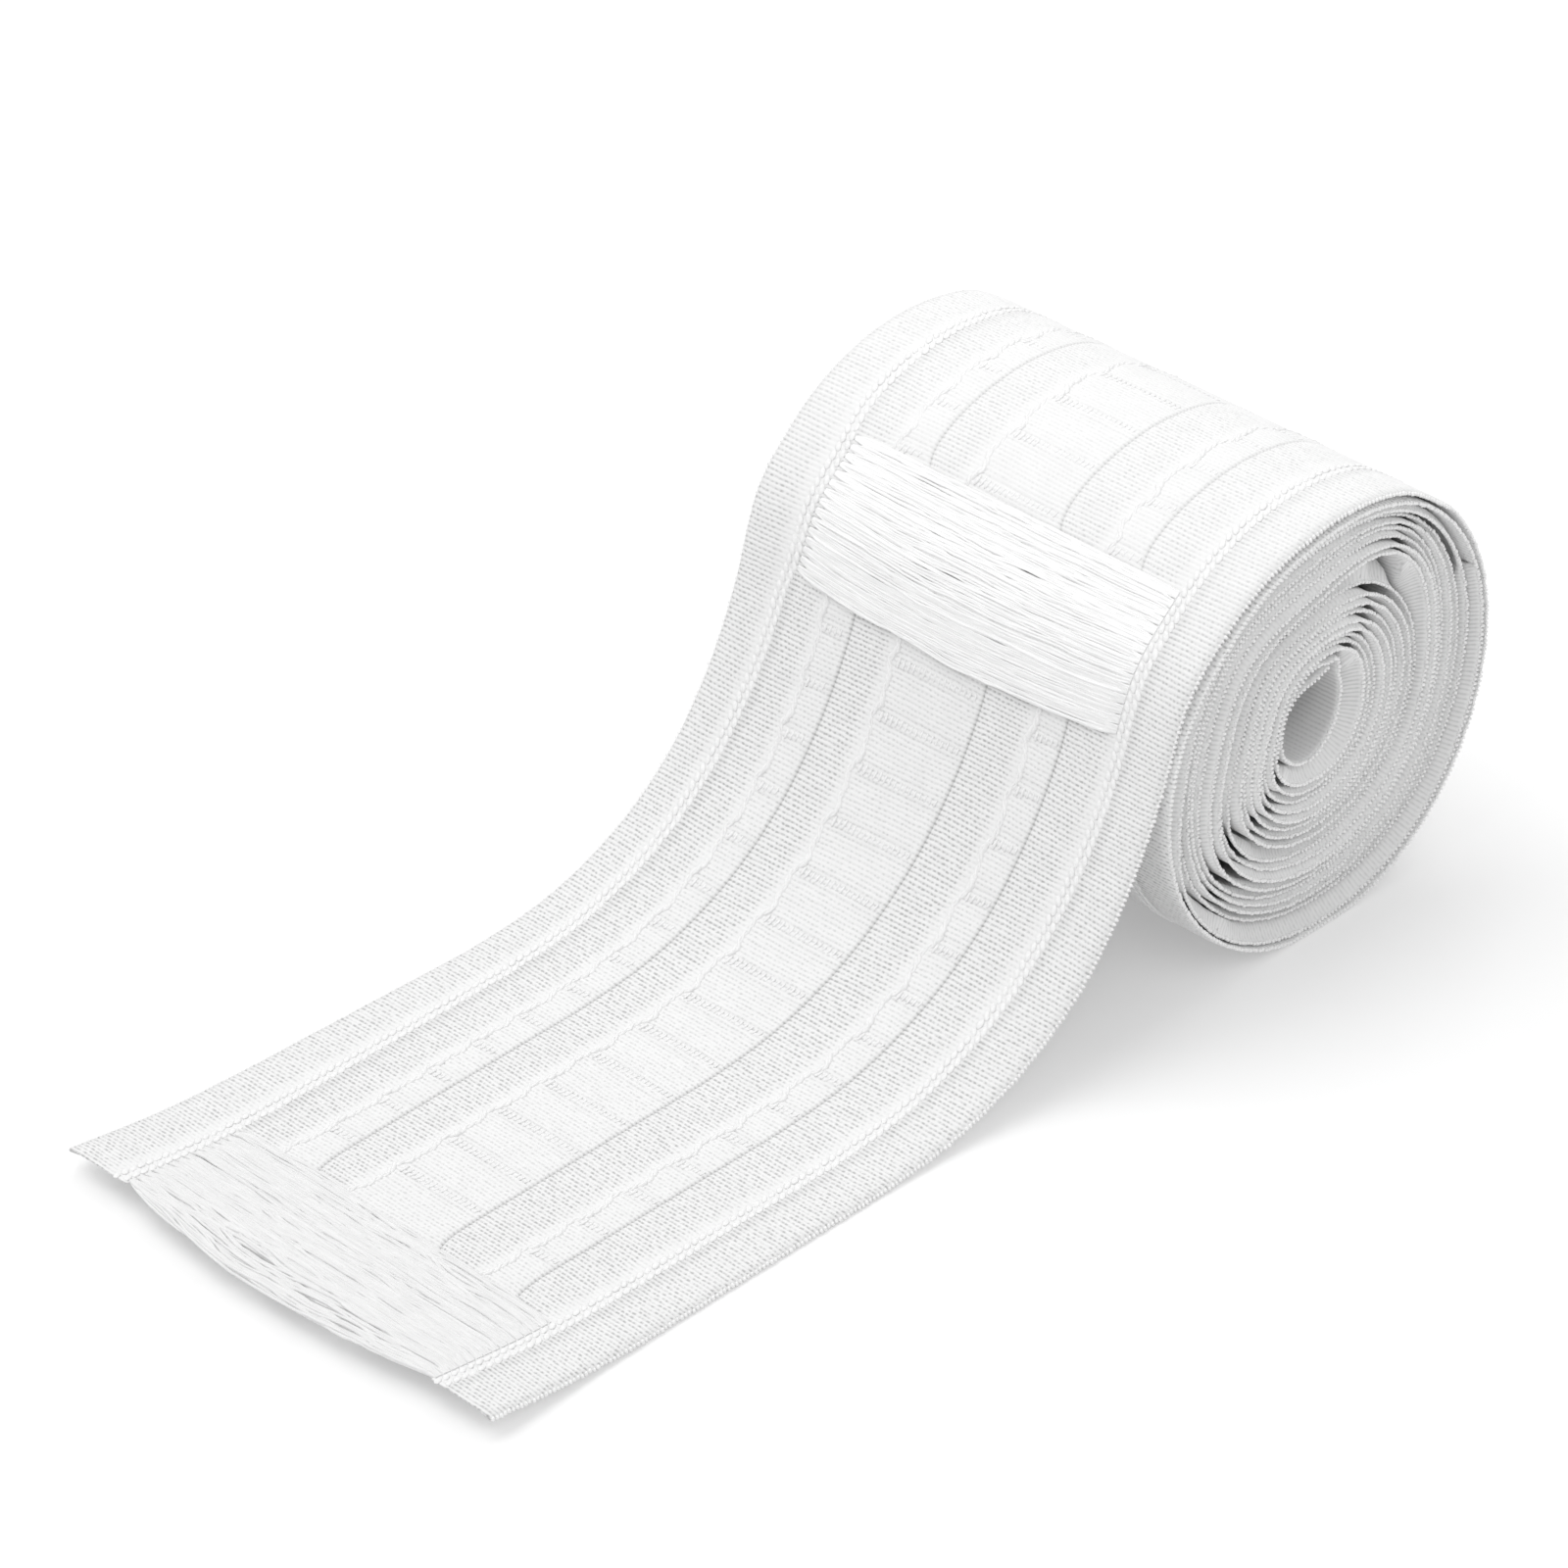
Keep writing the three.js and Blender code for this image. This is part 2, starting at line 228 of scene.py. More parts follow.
# The floor, in metres: half its side, and how far it lies under the tape
FLOOR_HALF = 3.0
FLOOR_DROP = 0.00015


def smooth_step(value, low, high):
    share = np.clip((value - low) / (high - low), 0, 1)
    return share * share * (3 - 2 * share)


def smooth_value(values, where):
    """Values of a smooth curve through evenly spaced values, at places counted in values."""
    values = np.asarray(values, float)
    last = len(values) - 1
    start = np.clip(np.floor(where).astype(int), 0, last - 1)
    t = where - start
    p0, p1, p2, p3 = (values[np.clip(start + step, 0, last)] for step in (-1, 0, 1, 2))
    leave = (p2 - p0) / 2
    arrive = (p3 - p1) / 2
    cubic = 2 * p1 - 2 * p2 + leave + arrive
    square = -3 * p1 + 3 * p2 - 2 * leave - arrive
    return ((cubic * t + square) * t + leave) * t + p1


def winding_radii():
    """Distances from the core's centre at every table angle of every turn."""
    radii = []
    for row, (turn, here) in enumerate(TURN_ROWS):
        after, there = TURN_ROWS[row + 1] if row + 1 < len(TURN_ROWS) else (turn + 1, here)
        for step in range(after - turn):
            share = step / (after - turn)
            radii.extend(a + (b - a) * share for a, b in zip(here, there))
    return np.array(radii)


WINDING = winding_radii()


def turn_radius(turns):
    fold = np.exp(-(((turns - FOLD_TURN) / FOLD_SPREAD) ** 2))
    return smooth_value(WINDING, turns * TABLE_ANGLES) + FOLD_HEIGHT * fold


def turn_slip(turns):
    """How far a turn is slid along X: in a wave, out at the core and back in two groups of turns.

    The loose end isn't slid.
    """
    core = smooth_step(turns, *SLIP_CORE_TURNS)
    wave = SLIP_WAVE * np.sin(SLIP_RATE * turns) + SLIP_CORE * core
    for first, last in SET_BACK_TURNS:
        full = first + 0.5
        wave = wave - SET_BACK * smooth_step(turns, first, full) * (1 - smooth_step(turns, full, last))
    return wave * smooth_step(turns, WOUND_FROM, WOUND_FROM + 0.3)


def roll_place(turns, radius):
    angle = np.radians(FIRST_ANGLE - 360 * turns)
    return np.stack([CORE_Y + radius * np.cos(angle), CORE_Z + radius * np.sin(angle)], axis=-1)


def facings(points):
    """Unit vectors that stand on a line in side view, on the roll's outside."""
    along = np.gradient(points, axis=0)
    along /= np.linalg.norm(along, axis=1)[:, None]
    return np.stack([-along[:, 1], along[:, 0]], axis=1)


class TapeLine:
    """The middle of the cloth from the cut end to the core, in side view."""

    def __init__(self):
        arc = np.array([roll_place(t, turn_radius(np.array(t)) - LOOSE_HALF) for t in LOOSE_ARC])
        knots = np.concatenate([arc, np.array(LOOSE_FREE, float)])
        where = np.linspace(len(knots) - 1, 0, LOOSE_PLACES)
        under = np.stack([smooth_value(knots[:, axis], where) for axis in (0, 1)], axis=1)
        under[:, 1] = np.maximum(under[:, 1], 0)
        loose = under + facings(under) * LOOSE_HALF
        turns = np.linspace(WOUND_FROM, CORE_END, WOUND_PLACES)[1:]
        wound = roll_place(turns, turn_radius(turns))
        half = LOOSE_HALF + (WOUND_HALF - LOOSE_HALF) * smooth_step(turns, WOUND_FROM, 1)
        wound[:, 1] = np.maximum(wound[:, 1], half)
        line = np.concatenate([loose, wound])
        steps = np.linalg.norm(np.diff(line, axis=0), axis=1)
        self.run = np.concatenate([[0], np.cumsum(steps)])
        self.loose_length = self.run[len(loose) - 1]
        self.length = self.run[-1]
        self.turns = np.concatenate([np.full(len(loose), WOUND_FROM), turns])
        self.half = np.concatenate([np.full(len(loose), LOOSE_HALF), half])
        self.facing = facings(line)
        self.line = line
        self.slip = turn_slip(self.turns)

    def run_at(self, turns):
        return float(np.interp(turns, self.turns, self.run))

    def half_at(self, run):
        return np.interp(run, self.run, self.half)

    def facing_at(self, run):
        y, z = (np.interp(run, self.run, self.facing[:, axis]) for axis in (0, 1))
        return y, z

    def place(self, run, across, height, clear=0.0):
        """Points of the scene, in metres, for runs, places across and heights over the middle.

        Nothing comes nearer to the floor than clear.
        """
        run, across, height = np.broadcast_arrays(*(np.asarray(v, float) for v in (run, across, height)))
        y, z = (np.interp(run, self.run, self.line[:, axis]) for axis in (0, 1))
        face_y, face_z = self.facing_at(run)
        ahead = np.minimum(run, 0)
        slip = np.interp(run, self.run, self.slip)
        points = np.stack(
            [
                across + slip,
                y + face_y * height + face_z * ahead + ROLL_Y,
                np.maximum(z + face_z * height - face_y * ahead, clear),
            ],
            axis=-1,
        )
        return points * MM


TAPE = TapeLine()


def drift(across, run):
    """How far a place across the tape strays at a run from the cut end."""
    across, run = np.broadcast_arrays(np.asarray(across, float), np.asarray(run, float))
    lines = np.array(list(STRAY))
    steps = len(next(iter(STRAY.values()))) - 1
    where = np.clip(run / TAPE.loose_length, 0, 1) * steps
    strays = np.stack([smooth_value(STRAY[line], where) for line in STRAY])
    left = np.clip(np.searchsorted(lines, across, side="right") - 1, 0, len(lines) - 2)
    share = np.clip((across - lines[left]) / (lines[left + 1] - lines[left]), 0, 1)
    low = np.take_along_axis(strays, left[None], 0)[0]
    high = np.take_along_axis(strays, left[None] + 1, 0)[0]
    hooked = sum(bump_at(across, groove, HOOK_SPREAD) for groove in GROOVES)
    hooks = sum(
        HOOK * np.exp(-np.abs(run - high) / HOOK_REACH) * (run > low)
        for low, high in (UPPER_BAND, END_BAND)
    )
    first, last = UPPER_BAND
    beside = smooth_step(run, first - 5, first + 3) * (1 - smooth_step(run, last - 3, last + 5))
    drawn = DRAWN_IN * beside * bump_at(across, CORDS[0], DRAWN_REACH)
    stay = 1 - smooth_step(run, TAPE.loose_length, TAPE.loose_length + 60)
    return (low + (high - low) * share) * stay + hooked * hooks + drawn


def rung_runs(start, stop):
    """Runs of the rungs between two runs."""
    last = RUNGS[-1]
    more = np.arange(last + RUNG_STEP, TAPE.length, RUNG_STEP)
    return [run for run in (*RUNGS, *more) if start + 1 < run < stop - 1]


def bump_at(across, centre, half):
    return np.exp(-(((across - centre) / half) ** 2))


def band_cover(run):
    """1 under a band of loose threads and 0 elsewhere."""
    cover = 0
    for low, high in (UPPER_BAND, END_BAND):
        begun = smooth_step(run, low - 0.6, low + 0.4)
        cover = cover + begun * (1 - smooth_step(run, high - 0.4, high + 0.6))
    return np.clip(cover, 0, 1)


def faint(run):
    """1 over the roll's brightly lit top and 0 elsewhere: there the weave's dots and painted shade are
    made fainter, as painted light, and the rungs and yarns lie lower.
    """
    return smooth_step(run, UPPER_BAND[0], UPPER_BAND[1] + 5) * (1 - smooth_step(run, *LIT_TOP_END))


def link(obj):
    bpy.context.scene.collection.objects.link(obj)
    return obj


def mesh_object(name, points, faces, material):
    mesh = bpy.data.meshes.new(name)
    mesh.from_pydata(points.tolist(), [], faces)
    mesh.materials.append(material)
    mesh.polygons.foreach_set("use_smooth", [True] * len(mesh.polygons))
    mesh.update()
    return link(bpy.data.objects.new(name, mesh))


def set_attribute(mesh, name, kind, values):
    """Stores one value for each point: FLOAT or FLOAT_VECTOR."""
    attribute = mesh.attributes.new(name, kind, "POINT")
    key = "vector" if kind == "FLOAT_VECTOR" else "value"
    attribute.data.foreach_set(key, np.asarray(values, np.float32).ravel())


def set_uv(mesh, values):
    """A UV map from one pair for each point."""
    corners = np.zeros(len(mesh.loops), np.int32)
    mesh.loops.foreach_get("vertex_index", corners)
    layer = mesh.uv_layers.new(name="tape")
    layer.data.foreach_set("uv", np.asarray(values, np.float32)[corners].ravel())


def finish_piece(obj, slot, *nodes):
    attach(obj, "root")
    if nodes:
        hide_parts(*nodes)
    return obj


class Weave:
    """Where the cloth's columns lie, and how its faces rise and fall."""

    def __init__(self, rib_pitch, rib_height):
        self.rib_pitch = rib_pitch
        self.rib_height = rib_height
        across, ribs, dots = [], [], []
        for low, high, count, rib, dot in STRETCHES:
            places = np.linspace(low, high, count, endpoint=False)
            across.extend(places)
            ribs.extend([rib] * count)
            dots.extend([dot] * count)
        self.across = np.array([*across, HALF_WIDTH])
        self.ribs = np.array([*ribs, STRETCHES[-1][3]])
        self.dots = np.array([*dots, STRETCHES[-1][4]])

    def rib_profile(self, run):
        return np.sin(np.pi * np.mod(run / self.rib_pitch, 1.0)) ** 0.8

    def relief(self, run, seed):
        """Height over the cloth's flat face, for every run and column, and how much painted shade each
        place gets.
        """
        across = self.across[None, :]
        run = run[:, None]
        plain = 1 - 0.75 * band_cover(run) * ((across > RECESS_LEFT) & (across < RECESS_RIGHT))
        height = self.rib_height * self.rib_profile(run) * self.ribs
        shade = np.zeros(height.shape)
        for cord in CORDS:
            # Painted shade: a thin dark line along the right edge of each cord, where it stands above the
            # cloth
            shade = shade + 0.4 * bump_at(across, cord + CORD_HALF, 0.2)
        for groove in GROOVES:
            height = height - 0.2 * bump_at(across, groove, 0.15)
            # Painted shade in each groove, over its real dip
            shade = shade + bump_at(across, groove, 0.2)
        near = rung_runs(float(run[0, 0]), float(run[-1, 0]))
        rungs = sum(bump_at(run, rung, 0.55) for rung in near)
        pinch = sum(bump_at(run, rung + side, 0.35) for side in (-1.0, 1.0) for rung in near)
        for low, high in POCKETS:
            inside = (across > low) & (across < high)
            share = np.clip((across - low) / (high - low), 0, 1)
            puff = np.sin(np.pi * share)
            height = height + inside * puff * (0.06 + 0.04 * rungs - 0.06 * pinch)
            # Painted shade in the creases beside each rung
            shade = shade + inside * 0.1 * pinch
        jitter = np.random.default_rng(seed).normal(0, 0.012, height.shape)
        return height * plain + jitter, np.clip(shade * plain, 0, 1)


def weft_waver(across, run):
    """The ribs don't cross the tape dead straight."""
    slow = 0.28 * np.sin(run / 17 + across / 14)
    quick = 0.10 * np.sin(run / 5.3 - across / 4.1)
    return slow + quick


def recess(across, run):
    """How far the cut end is set back between the cords."""
    inside = (across > RECESS_LEFT) & (across < RECESS_RIGHT)
    return inside * RECESS_DEPTH * (1 - smooth_step(run, 0, RECESS_BLEND))


def ring_faces(stations, ring):
    """Quads between rings of points, and a cap at each end."""
    first = np.arange(stations - 1)[:, None] * ring + np.arange(ring)[None, :]
    after = np.arange(stations - 1)[:, None] * ring + (np.arange(ring) + 1)[None, :] % ring
    quads = np.stack([first, after, after + ring, first + ring], axis=-1).reshape(-1, 4)
    last = (stations - 1) * ring
    return [list(range(ring))[::-1], *quads.tolist(), list(range(last, last + ring))]


def cloth_piece(name, weave, runs, seed, material):
    """A stretch of the tape as one closed sheet with both its faces."""
    top, shade = weave.relief(runs, seed)
    across = weave.across
    under = np.linspace(HALF_WIDTH, -HALF_WIDTH, UNDER_COLUMNS)
    half = TAPE.half_at(runs)[:, None]
    thin = np.ones(len(across))
    thin[[0, -1]] = EDGE_THIN
    ring_across = np.concatenate([across, [EDGE_TIP], under, [-EDGE_TIP]])
    nominal = np.clip(ring_across, -HALF_WIDTH, HALF_WIDTH)
    rib = weave.rib_height * weave.rib_profile(runs)[:, None]
    below = -half - 0.3 * rib + 0.2 * rib.max() + 0 * under
    below[:, [0, -1]] *= EDGE_THIN
    middle = np.zeros((len(runs), 1))
    height = np.concatenate([half * thin + top, middle, np.maximum(below, -half), middle], axis=1)
    run = runs[:, None]
    place_run = run + recess(nominal, run) + weft_waver(nominal, run) * smooth_step(run, 0, 4)
    place_across = ring_across + drift(nominal, run)
    points = TAPE.place(place_run, place_across, height)
    none = np.zeros((len(runs), len(under) + 2))
    # Painted light: over the roll's brightly lit top the weave's dots and the painted shade are made
    # fainter
    dots = np.concatenate([weave.dots * (1.1 - 0.6 * faint(run)), none + 0.5], axis=1)
    shade = np.concatenate([shade * (1 - 0.4 * faint(run)), none], axis=1)
    return tape_mesh(name, points, nominal, run, dots, shade, material)


def tape_mesh(name, points, nominal, run, dots, shade, material):
    """A closed sheet from rings of points, with its places on the tape, dots and shading."""
    obj = mesh_object(name, points.reshape(-1, 3), ring_faces(*points.shape[:2]), material)
    set_uv(obj.data, np.stack(np.broadcast_arrays(nominal, run), axis=-1).reshape(-1, 2))
    set_attribute(obj.data, "dots", "FLOAT", dots)
    set_attribute(obj.data, "shade", "FLOAT", shade)
    return obj


def wire(tree, start, end):
    """Feeds an input with another node's result, or with a plain value."""
    if isinstance(start, bpy.types.NodeSocket):
        tree.links.new(start, end)
    else:
        end.default_value = start


def node(tree, kind, inputs=None, **settings):
    """A new node with its inputs, by name or number, fed by sockets and plain values."""
    made = tree.nodes.new(kind)
    for key, value in settings.items():
        setattr(made, key, value)
    for key, value in (inputs or {}).items():
        wire(tree, value, made.inputs[key])
    return made


def maths(tree, operation, *inputs):
    """A Math node fed by sockets and numbers; gives its result's socket."""
    return node(tree, "ShaderNodeMath", dict(enumerate(inputs)), operation=operation).outputs[0]


def map_range(tree, value, low, high, to_low, to_high):
    names = ("Value", "From Min", "From Max", "To Min", "To Max")
    inputs = dict(zip(names, (value, low, high, to_low, to_high)))
    made = node(tree, "ShaderNodeMapRange", inputs, interpolation_type="SMOOTHSTEP")
    return made.outputs["Result"]


def noise(tree, vector, **inputs):
    return node(tree, "ShaderNodeTexNoise", {"Vector": vector, **inputs}).outputs["Fac"]


def new_group(name, kind, inputs, outputs):
    """A node group whose inputs and outputs are given as name, kind of socket and default, if any."""
    tree = bpy.data.node_groups.new(name, kind)
    for in_out, sockets in (("INPUT", inputs), ("OUTPUT", outputs)):
        for label, socket, *default in sockets:
            made = tree.interface.new_socket(label, in_out=in_out, socket_type="NodeSocket" + socket)
            if default:
                made.default_value = default[0]
    return tree, node(tree, "NodeGroupInput"), node(tree, "NodeGroupOutput")


def plain_weave_group():
    """Shader group: ribs along V with dots where the yarns cross between them. UV is in millimetres."""
    name = "Plain weave"
    if name in bpy.data.node_groups:
        return bpy.data.node_groups[name]
    tree, given, result = new_group(
        name, "ShaderNodeTree",
        (
            ("Vector", "Vector"), ("Rib Pitch", "Float", 0.67), ("Yarn Pitch", "Float", 0.75),
            ("Dots", "Float", 1.0),
        ),
        (("Height", "Float"), ("Gaps", "Float"), ("Valleys", "Float")),
    )
    vector = given.outputs["Vector"]
    split = node(tree, "ShaderNodeSeparateXYZ", {0: vector})
    uneven = noise(tree, vector, Scale=0.55, Detail=3.0)
    stray = maths(tree, "MULTIPLY", maths(tree, "SUBTRACT", uneven, 0.5), 0.9)
    waver = maths(tree, "ADD", split.outputs["Y"], maths(tree, "MULTIPLY", stray, 0.35))
    rows = maths(tree, "DIVIDE", waver, given.outputs["Rib Pitch"])
    row = maths(tree, "ROUND", rows)
    from_valley = maths(tree, "ABSOLUTE", maths(tree, "SUBTRACT", rows, row))
    valley = map_range(tree, from_valley, 0.02, 0.36, 1.0, 0.0)
    moved = maths(tree, "ADD", split.outputs["X"], stray)
    yarns = maths(tree, "DIVIDE", moved, given.outputs["Yarn Pitch"])
    shifted = maths(tree, "ADD", yarns, maths(tree, "MULTIPLY", row, 0.5))
    from_dot = maths(tree, "ABSOLUTE", maths(tree, "SUBTRACT", maths(tree, "FRACT", shifted), 0.5))
    dot = map_range(tree, from_dot, 0.12, 0.46, 1.0, 0.0)
    line = maths(tree, "ADD", maths(tree, "MULTIPLY", dot, 0.6), 0.4)
    deep = maths(tree, "MULTIPLY", maths(tree, "MULTIPLY", valley, line), given.outputs["Dots"])
    patchy = noise(tree, vector, Scale=1.5, Detail=2.0)
    strength = map_range(tree, patchy, 0.3, 0.7, 0.25, 1.3)
    gaps = maths(tree, "MULTIPLY", deep, strength)
    wire(tree, maths(tree, "MINIMUM", gaps, 1.0), result.inputs["Gaps"])
    wire(tree, maths(tree, "SUBTRACT", 1.0, gaps), result.inputs["Height"])
    wire(tree, valley, result.inputs["Valleys"])
    return tree


def fibre_group():
    """Shader group: fine uneven fibres, finer across than along, in object space."""
    name = "Yarn fibres"
    if name in bpy.data.node_groups:
        return bpy.data.node_groups[name]
    tree, given, result = new_group(
        name, "ShaderNodeTree",
        (("Vector", "Vector"), ("Scale", "Float", 1.0)),
        (("Fibres", "Float"), ("Blotches", "Float")),
    )
    vector = given.outputs["Vector"]
    scale = given.outputs["Scale"]
    fine = noise(tree, vector, Scale=scale, Detail=4.0, Roughness=0.6)
    broad = noise(tree, vector, Scale=maths(tree, "MULTIPLY", scale, 0.12), Detail=2.0)
    wire(tree, fine, result.inputs["Fibres"])
    wire(tree, broad, result.inputs["Blotches"])
    return tree


def add_group(tree, group, **inputs):
    named = {key.replace("_", " "): value for key, value in inputs.items()}
    return node(tree, "ShaderNodeGroup", named, node_tree=group)


def attribute(tree, name):
    return node(tree, "ShaderNodeAttribute", attribute_name=name).outputs["Fac"]


def mix_colour(tree, share, start, end):
    return node(tree, "ShaderNodeMix", {0: share, 6: start, 7: end}, data_type="RGBA").outputs[2]


def new_material(name):
    material = bpy.data.materials.new(name)
    material.use_nodes = True
    tree = material.node_tree
    shader = tree.nodes["Principled BSDF"]
    return material, tree, shader


def add_relief(tree, shader, height, strength, distance):
    """Gives a shader fine relief from a height, over a distance in millimetres."""
    inputs = {"Height": height, "Strength": strength, "Distance": distance * MM}
    bump = node(tree, "ShaderNodeBump", inputs)
    wire(tree, bump.outputs["Normal"], shader.inputs["Normal"])


def set_shine(shader, specular, sheen, sheen_roughness):
    shader.inputs["Specular IOR Level"].default_value = specular
    shader.inputs["Sheen Weight"].default_value = sheen
    shader.inputs["Sheen Roughness"].default_value = sheen_roughness


def cloth_material(settings):
    """Matt ribbed weave, darker in the dots between the ribs, with painted shade along the grooves, the
    cords' edges, the creases by the rungs and the faces between the wound turns.
    """
    name = "Woven cloth"
    if name in bpy.data.materials:
        return bpy.data.materials[name]
    material, tree, shader = new_material(name)
    places = node(tree, "ShaderNodeUVMap", uv_map="tape").outputs["UV"]
    weave = add_group(
        tree, plain_weave_group(), Vector=places, Rib_Pitch=settings.rib_pitch / MM,
        Yarn_Pitch=settings.yarn_pitch / MM, Dots=attribute(tree, "dots"),
    )
    solid = node(tree, "ShaderNodeTexCoord").outputs["Object"]
    fibres = add_group(tree, fibre_group(), Vector=solid, Scale=2600.0)
    colour = settings.cloth_colour
    light = [*colour, 1.0]
    dark = [value * settings.gap_tone for value in colour] + [1.0]
    # Painted shade: the colour that the shade attribute mixes in, wherever shade is painted, not only in
    # the grooves
    groove = [value * settings.shade_tone for value in colour] + [1.0]
    woven = mix_colour(tree, weave.outputs["Gaps"], light, dark)
    dotted = maths(tree, "ADD", maths(tree, "MULTIPLY", weave.outputs["Valleys"], 0.6), 0.4)
    # Painted shade, mixed in by the shade attribute and dotted along the weave's valleys
    shaded = mix_colour(tree, maths(tree, "MULTIPLY", attribute(tree, "shade"), dotted), woven, groove)
    blotches = map_range(tree, fibres.outputs["Blotches"], 0.3, 0.7, 0.0, 1.0)
    faded = mix_colour(tree, maths(tree, "MULTIPLY", blotches, 0.06), shaded, dark)
    wire(tree, faded, shader.inputs["Base Color"])
    rough = map_range(tree, fibres.outputs["Fibres"], 0.2, 0.8, 0.78, 0.95)
    wire(tree, rough, shader.inputs["Roughness"])
    fuzz = maths(tree, "MULTIPLY", fibres.outputs["Fibres"], 0.3)
    height = maths(tree, "ADD", weave.outputs["Height"], fuzz)
    add_relief(tree, shader, height, 0.55, 0.14)
    set_shine(shader, 0.25, 0.12, 0.5)
    return material


def thread_material(name, colour, stretch, roughness, sheen):
    """Silky yarn: fine fibres that run along X when stretched, or in all directions."""
    if name in bpy.data.materials:
        return bpy.data.materials[name]
    material, tree, shader = new_material(name)
    solid = node(tree, "ShaderNodeTexCoord").outputs["Object"]
    mapping = node(tree, "ShaderNodeMapping", {"Vector": solid, "Scale": (1.0 / stretch, 1.0, 1.0)})
    group = add_group(tree, fibre_group(), Vector=mapping.outputs["Vector"], Scale=3200.0)
    fibres = group.outputs["Fibres"]
    light = [*colour, 1.0]
    dark = [value * 0.78 for value in colour] + [1.0]
    share = maths(tree, "MULTIPLY", map_range(tree, fibres, 0.25, 0.75, 1.0, 0.0), 0.5)
    wire(tree, mix_colour(tree, share, light, dark), shader.inputs["Base Color"])
    rough = map_range(tree, fibres, 0.2, 0.8, roughness, roughness + 0.2)
    wire(tree, rough, shader.inputs["Roughness"])
    add_relief(tree, shader, fibres, 0.35, 0.06)
    set_shine(shader, 0.4, sheen, 0.4)
    return material


def yarn_material(settings):
    return thread_material("Pocket yarn", settings.thread_colour, 1.0, 0.6, 0.15)


def geometry_group(name, *inputs):
    shape = ("Geometry", "Geometry")
    return new_group(name, "GeometryNodeTree", (shape, *inputs, ("Material", "Material")), (shape,))


def named_value(tree, name, kind):
    made = node(tree, "GeometryNodeInputNamedAttribute", {"Name": name}, data_type=kind)
    return made.outputs["Attribute"]


def finish_tree(tree, given, result, geometry):
    """Realizes, smooths and colours what a tree has made."""
    real = node(tree, "GeometryNodeRealizeInstances", {0: geometry})
    smooth = node(tree, "GeometryNodeSetShadeSmooth", {0: real.outputs[0]})
    inputs = {"Geometry": smooth.outputs[0], "Material": given.outputs["Material"]}
    paint = node(tree, "GeometryNodeSetMaterial", inputs)
    wire(tree, paint.outputs[0], result.inputs[0])


def stitches_tree():
    """Geometry tree: a rounded stitch on every point, turned by its along and outward attributes."""
    name = "Stitches on points"
    if name in bpy.data.node_groups:
        return bpy.data.node_groups[name]
    tree, given, result = geometry_group(
        name, ("Segments", "Int"), ("Rings", "Int"), ("Length", "Float"), ("Width", "Float"),
        ("Height", "Float"), ("Uneven", "Float"), ("Seed", "Int"),
    )
    value = given.outputs
    inputs = {"Radius": 0.5, "Segments": value["Segments"], "Rings": value["Rings"]}
    ball = node(tree, "GeometryNodeMeshUVSphere", inputs)
    axes = [named_value(tree, axis, "FLOAT_VECTOR") for axis in ("along", "outward")]
    turn = node(
        tree, "FunctionNodeAxesToRotation", dict(enumerate(axes)), primary_axis="Z", secondary_axis="X",
    )
    inputs = {0: value["Height"], 1: value["Width"], 2: value["Length"]}
    size = node(tree, "ShaderNodeCombineXYZ", inputs)
    low = maths(tree, "SUBTRACT", 1.0, value["Uneven"])
    high = maths(tree, "ADD", 1.0, value["Uneven"])
    inputs = {2: low, 3: high, "Seed": value["Seed"]}
    chance = node(tree, "FunctionNodeRandomValue", inputs, data_type="FLOAT")
    grow = maths(tree, "MULTIPLY", chance.outputs[1], named_value(tree, "size", "FLOAT"))
    scale = node(tree, "ShaderNodeVectorMath", {0: size.outputs[0], "Scale": grow}, operation="SCALE")
    spread = node(tree, "GeometryNodeInstanceOnPoints", {
        "Points": value["Geometry"], "Instance": ball.outputs["Mesh"],
        "Rotation": turn.outputs[0], "Scale": scale.outputs[0],
    })
    finish_tree(tree, given, result, spread.outputs[0])
    return tree


def strands_tree():
    """Geometry tree: a round strand along every guide line, as thick as its radius attribute."""
    name = "Strands on guides"
    if name in bpy.data.node_groups:
        return bpy.data.node_groups[name]
    tree, given, result = geometry_group(name, ("Sides", "Int"))
    radius = named_value(tree, "thick", "FLOAT")
    curve = node(tree, "GeometryNodeMeshToCurve", {0: given.outputs["Geometry"]})
    thick = node(tree, "GeometryNodeSetCurveRadius", {"Curve": curve.outputs[0], "Radius": radius})
    inputs = {"Radius": 1.0, "Resolution": given.outputs["Sides"]}
    section = node(tree, "GeometryNodeCurvePrimitiveCircle", inputs)
    skin = node(tree, "GeometryNodeCurveToMesh", {
        "Curve": thick.outputs[0], "Profile Curve": section.outputs["Curve"], "Fill Caps": True,
    })
    if "Scale" in skin.inputs:
        wire(tree, radius, skin.inputs["Scale"])
    finish_tree(tree, given, result, skin.outputs[0])
    return tree


def grown_piece(name, tree, guide, values):
    """Runs a geometry tree on a guide mesh and keeps the result as a plain mesh."""
    carrier = link(bpy.data.objects.new(name + ".guide", guide))
    modifier = carrier.modifiers.new(name, "NODES")
    modifier.node_group = tree
    for item in tree.interface.items_tree:
        if item.in_out == "INPUT" and item.name in values:
            modifier[item.identifier] = values[item.name]
    bpy.context.view_layer.update()
    graph = bpy.context.evaluated_depsgraph_get()
    mesh = bpy.data.meshes.new_from_object(carrier.evaluated_get(graph))
    mesh.name = name
    bpy.data.objects.remove(carrier)
    bpy.data.meshes.remove(guide)
    if not mesh.polygons:
        raise RuntimeError(f"{name} came out empty")
    return link(bpy.data.objects.new(name, mesh))


